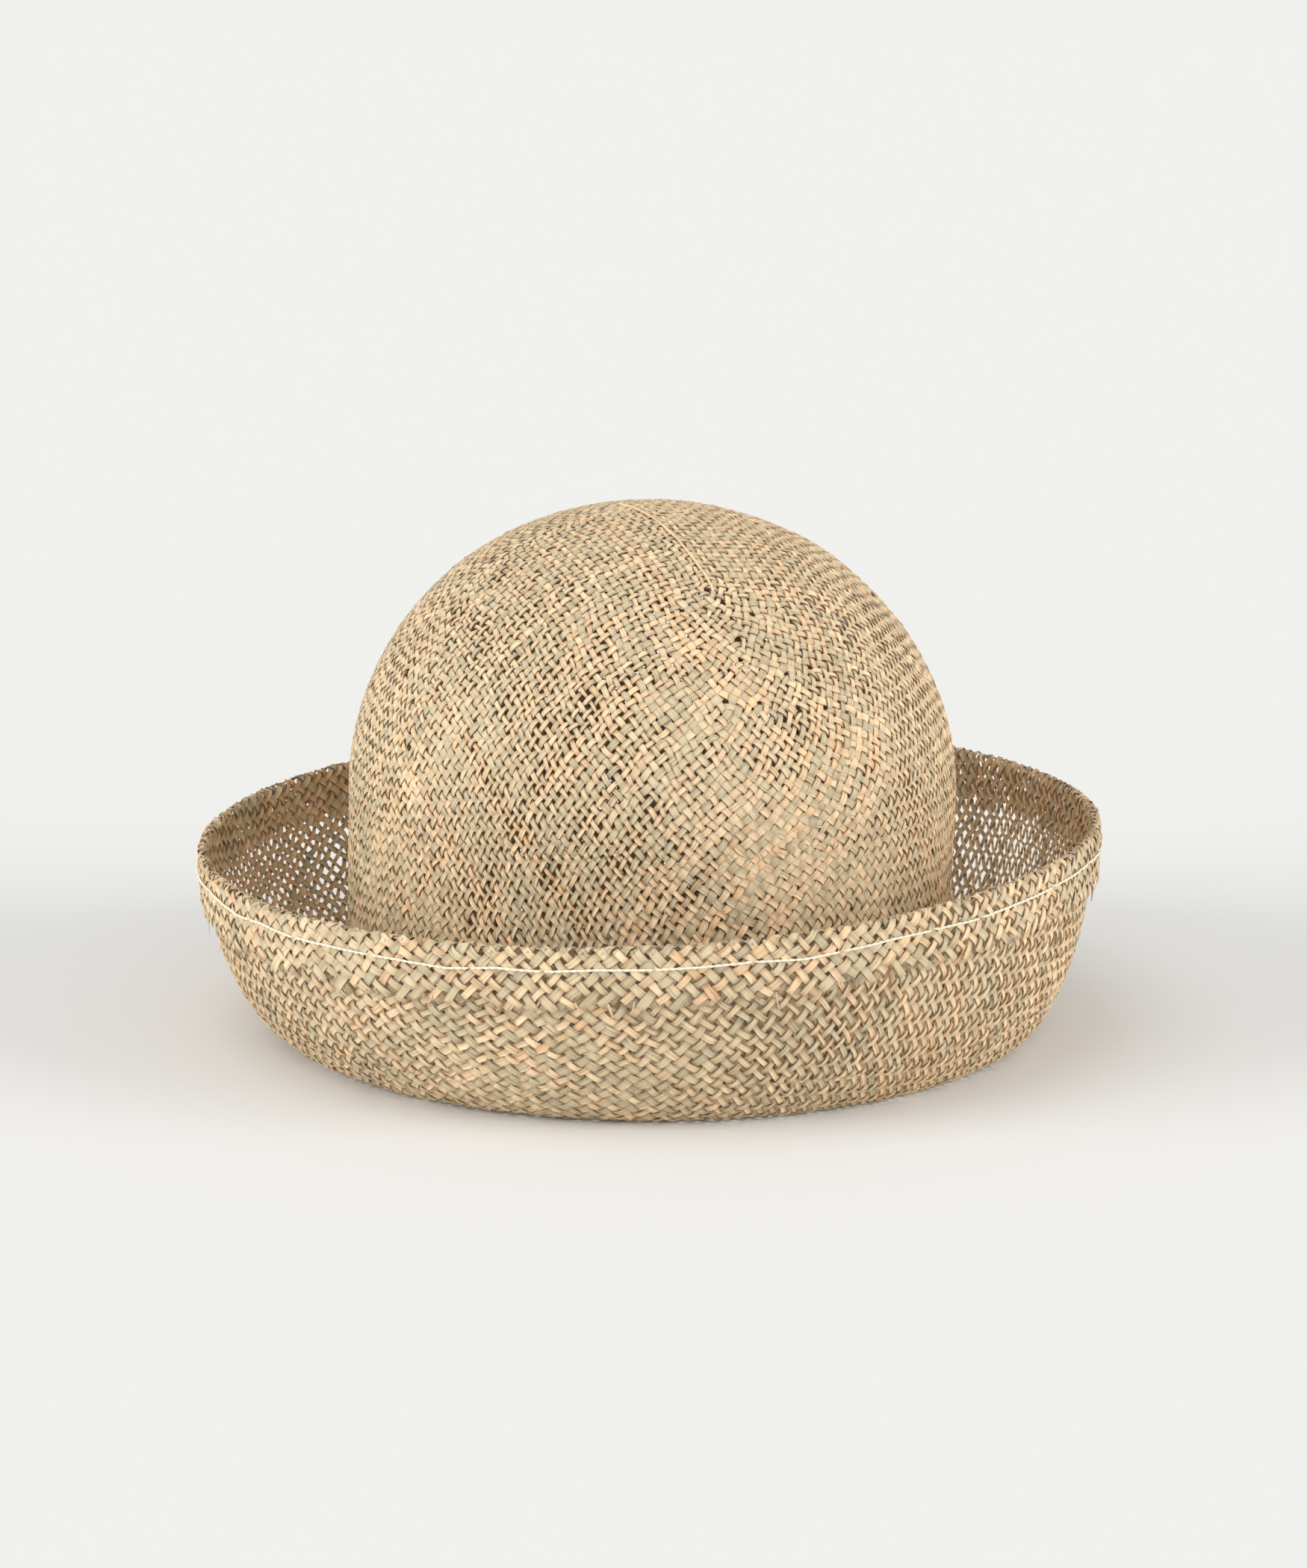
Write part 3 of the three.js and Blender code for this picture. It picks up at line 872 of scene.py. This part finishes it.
def new_material(name):
    material = bpy.data.materials.new(name)
    material.use_nodes = True
    tree = material.node_tree
    tree.nodes.clear()
    output = tree.nodes.new("ShaderNodeOutputMaterial")
    shader = tree.nodes.new("ShaderNodeBsdfPrincipled")
    tree.links.new(shader.outputs[0], output.inputs[0])
    return material, tree, shader


def node(tree, kind, inputs=(), **settings):
    """Makes a node. Its inputs are linked to the sockets given, or set to the values given."""
    made = tree.nodes.new(kind)
    for key, value in settings.items():
        setattr(made, key, value)
    for socket, value in dict(inputs).items():
        if isinstance(value, bpy.types.NodeSocket):
            tree.links.new(value, made.inputs[socket])
        else:
            made.inputs[socket].default_value = value
    return made


def maths(tree, operation, a, b=0.0, c=0.0):
    return node(tree, "ShaderNodeMath", {0: a, 1: b, 2: c}, operation=operation).outputs[0]


def mix_colour(tree, share, a, b, blend="MIX"):
    made = node(tree, "ShaderNodeMix", {0: share, 6: a, 7: b}, data_type="RGBA", blend_type=blend)
    return made.outputs[2]


def linear(red, green, blue):
    """A colour given as it looks on screen, from 0 to 255."""
    def one(value):
        value /= 255
        return value / 12.92 if value <= 0.04045 else ((value + 0.055) / 1.055) ** 2.4
    return (one(red), one(green), one(blue), 1.0)


STRAW = linear(231, 202, 163)
SAGE = linear(208, 191, 157)
RUST = linear(224, 180, 134)
# Painted shade: the brown that the creases and the strands' edges are darkened towards
PAINTED_SHADE_BROWN = linear(132, 96, 64)
THREAD = linear(230, 226, 206)


def read_vector(tree, label):
    """The three values that the ribbons carry under a name."""
    vector = node(tree, "ShaderNodeAttribute", attribute_name=label).outputs["Vector"]
    parts = node(tree, "ShaderNodeSeparateXYZ", {0: vector}).outputs
    return parts[0], parts[1], parts[2]


def grade(tree, value, low, high, start, end):
    """Goes evenly from start to end as the value goes from low to high, and stays there beyond them."""
    made = node(tree, "ShaderNodeMapRange", {0: value, 1: low, 2: high, 3: start, 4: end})
    return made.outputs[0]


def fibre(tree, blade, stretch, spread, detail):
    """Noise that runs along the strands."""
    along, across, seed = blade
    where = node(tree, "ShaderNodeCombineXYZ", {
        0: maths(tree, "MULTIPLY", along, stretch),
        1: maths(tree, "MULTIPLY", across, spread),
        2: seed,
    }).outputs[0]
    return node(tree, "ShaderNodeTexNoise", {"Vector": where, "Scale": 1.0, "Detail": detail}).outputs[0]


def crease_lines(tree, blade):
    """Thin lines along the strands that come and go, 1 in a crease and 0 beside it."""
    across = blade[1]
    place = grade(tree, fibre(tree, blade, 0.02, 0.0, 0.0), 0.35, 0.65, -0.7, 0.7)
    off = maths(tree, "ABSOLUTE", maths(tree, "SUBTRACT", across, place))
    line = grade(tree, off, 0.03, 0.12, 1.0, 0.0)
    there = grade(tree, fibre(tree, blade, 0.13, 0.0, 0.0), 0.5, 0.62, 0.0, 1.0)
    return maths(tree, "MULTIPLY", line, there)


def seagrass_colour(tree, blade, tint, fine, crease):
    """From straw to green and rust, streaked by the fibres, with painted shade in the creases and at the
    edges, and on the faces that meet a crossing strand through the light value.
    """
    green, light, rust = tint
    base = mix_colour(tree, maths(tree, "MINIMUM", maths(tree, "MAXIMUM", green, 0.0), 1.0), STRAW, SAGE)
    base = mix_colour(tree, rust, base, RUST)
    streak = grade(tree, fine, 0.3, 0.7, 0.84, 1.1)
    patch = grade(tree, fibre(tree, blade, 0.1, 1.2, 1.0), 0.3, 0.7, 0.9, 1.08)
    # The light value is the blade's own lightness, lowered by the painted shade on the faces that meet a
    # crossing strand
    lightness_and_shade = maths(tree, "MULTIPLY_ADD", light, 0.09, 1.0)
    value = maths(tree, "MULTIPLY", maths(tree, "MULTIPLY", streak, patch), lightness_and_shade)
    grey = node(tree, "ShaderNodeCombineColor", {0: value, 1: value, 2: value}).outputs[0]
    colour = mix_colour(tree, 1.0, base, grey, "MULTIPLY")
    # Painted shade in the creases, mixed over the colour; the creases are also sunk in the relief
    colour = mix_colour(tree, maths(tree, "MULTIPLY", crease, 0.45), colour, PAINTED_SHADE_BROWN)
    # Painted shade: the strands' edges and their thin side faces are darkened, standing in for the shadow
    # lines between strands
    edge = grade(tree, maths(tree, "ABSOLUTE", blade[1]), 0.72, 1.0, 0.0, 0.24)
    return mix_colour(tree, edge, colour, PAINTED_SHADE_BROWN)


def seagrass_relief(tree, blade, fine, crease):
    """Strands that are round across, with raised fibres and sunk creases."""
    across = blade[1]
    relief = maths(tree, "MULTIPLY_ADD", maths(tree, "MULTIPLY", across, across), -0.8, 1.0)
    relief = maths(tree, "MULTIPLY_ADD", fine, 0.35, relief)
    relief = maths(tree, "SUBTRACT", relief, maths(tree, "MULTIPLY", crease, 0.5))
    bump = node(tree, "ShaderNodeBump", {"Height": relief, "Strength": 1.0, "Distance": 0.22 * MM})
    return bump.outputs[0]


def seagrass_material():
    material, tree, shader = new_material("seagrass")
    blade = read_vector(tree, "blade")
    tint = read_vector(tree, "tint")
    fine = fibre(tree, blade, 0.22, 4.5, 2.0)
    crease = crease_lines(tree, blade)
    tree.links.new(seagrass_colour(tree, blade, tint, fine, crease), shader.inputs["Base Color"])
    tree.links.new(seagrass_relief(tree, blade, fine, crease), shader.inputs["Normal"])
    tree.links.new(grade(tree, fine, 0.3, 0.7, 0.5, 0.72), shader.inputs["Roughness"])
    shader.inputs["Specular IOR Level"].default_value = 0.35
    return material


def thread_material():
    material, tree, shader = new_material("stitching_thread")
    where = node(tree, "ShaderNodeTexCoord").outputs["Object"]
    fuzz = node(tree, "ShaderNodeTexNoise", {"Vector": where, "Scale": 2500.0, "Detail": 2.0}).outputs[0]
    bump = node(tree, "ShaderNodeBump", {"Height": fuzz, "Strength": 0.6, "Distance": 0.1 * MM})
    tree.links.new(bump.outputs[0], shader.inputs["Normal"])
    shader.inputs["Base Color"].default_value = THREAD
    shader.inputs["Roughness"].default_value = 0.8
    shader.inputs["Specular IOR Level"].default_value = 0.25
    return material


def floor_material():
    material, tree, shader = new_material("studio_floor")
    shader.inputs["Base Color"].default_value = FLOOR_COLOUR
    shader.inputs["Roughness"].default_value = 1.0
    shader.inputs["Specular IOR Level"].default_value = 0.0
    return material


# Scene

def make_camera():
    data = bpy.data.cameras.new("camera")
    data.sensor_fit = "VERTICAL"
    data.sensor_height = SENSOR
    data.lens = FOCAL_LENGTH
    data.clip_end = 100
    camera = bpy.data.objects.new("camera", data)
    rise = math.radians(CAMERA_ELEVATION)
    back = CAMERA_DISTANCE * math.cos(rise)
    up = CAMERA_DISTANCE * math.sin(rise)
    x, y, z = CAMERA_TARGET
    camera.location = Vector((x, y - back, z + up)) * MM
    camera.rotation_euler = (math.pi / 2 - rise, 0, 0)
    bpy.context.scene.collection.objects.link(camera)
    bpy.context.scene.camera = camera


def add_softbox(box):
    data = bpy.data.lights.new(box["name"], "SUN")
    data.energy = box["strength"]
    data.angle = math.radians(box["degrees"])
    data.color = LIGHT_COLOUR
    light = bpy.data.objects.new(box["name"], data)
    light.rotation_euler = Vector(box["towards"]).to_track_quat("Z", "Y").to_euler()
    bpy.context.scene.collection.objects.link(light)


def make_studio():
    r = FLOOR_REACH
    mesh = bpy.data.meshes.new("floor")
    mesh.from_pydata([(-r, -r, 0), (r, -r, 0), (r, r, 0), (-r, r, 0)], [], [(0, 1, 2, 3)])
    mesh.materials.append(floor_material())
    floor = bpy.data.objects.new("floor", mesh)
    bpy.context.scene.collection.objects.link(floor)
    world = bpy.data.worlds.new("studio")
    world.use_nodes = True
    background = world.node_tree.nodes["Background"]
    background.inputs[0].default_value = (1.0, 1.0, 1.0, 1)
    background.inputs[1].default_value = ROOM_LIGHT
    bpy.context.scene.world = world
    for box in SOFTBOXES:
        add_softbox(box)
    bpy.context.scene.view_settings.view_transform = "Standard"


def make_hat():
    rng = np.random.default_rng(RANDOM_SEED)
    sheet = Sheet()
    plait = Plait(sheet, rng)
    turn_end = sheet.rest_out + TURN_PIECE_SPARE
    bounds = [TIP_PIECE_REACH, sheet.dome_edge, sheet.head, turn_end, (sheet.rim + sheet.hem_top) / 2]
    weaver = Weaver(sheet, plait, rng, bounds)
    weaver.weave()
    weaver.floating_strand()
    material = seagrass_material()
    for (name, node_name), ribbon in zip(PIECES, weaver.pieces):
        piece = ribbon.build(name, material)
        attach(piece, "root")
        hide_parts(node_name)
    thread = make_thread(sheet, rng, thread_material())
    loose = make_loose_ends(sheet, rng, material)
    for piece in (thread, loose):
        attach(piece, "root")


make_camera()
make_studio()
make_hat()
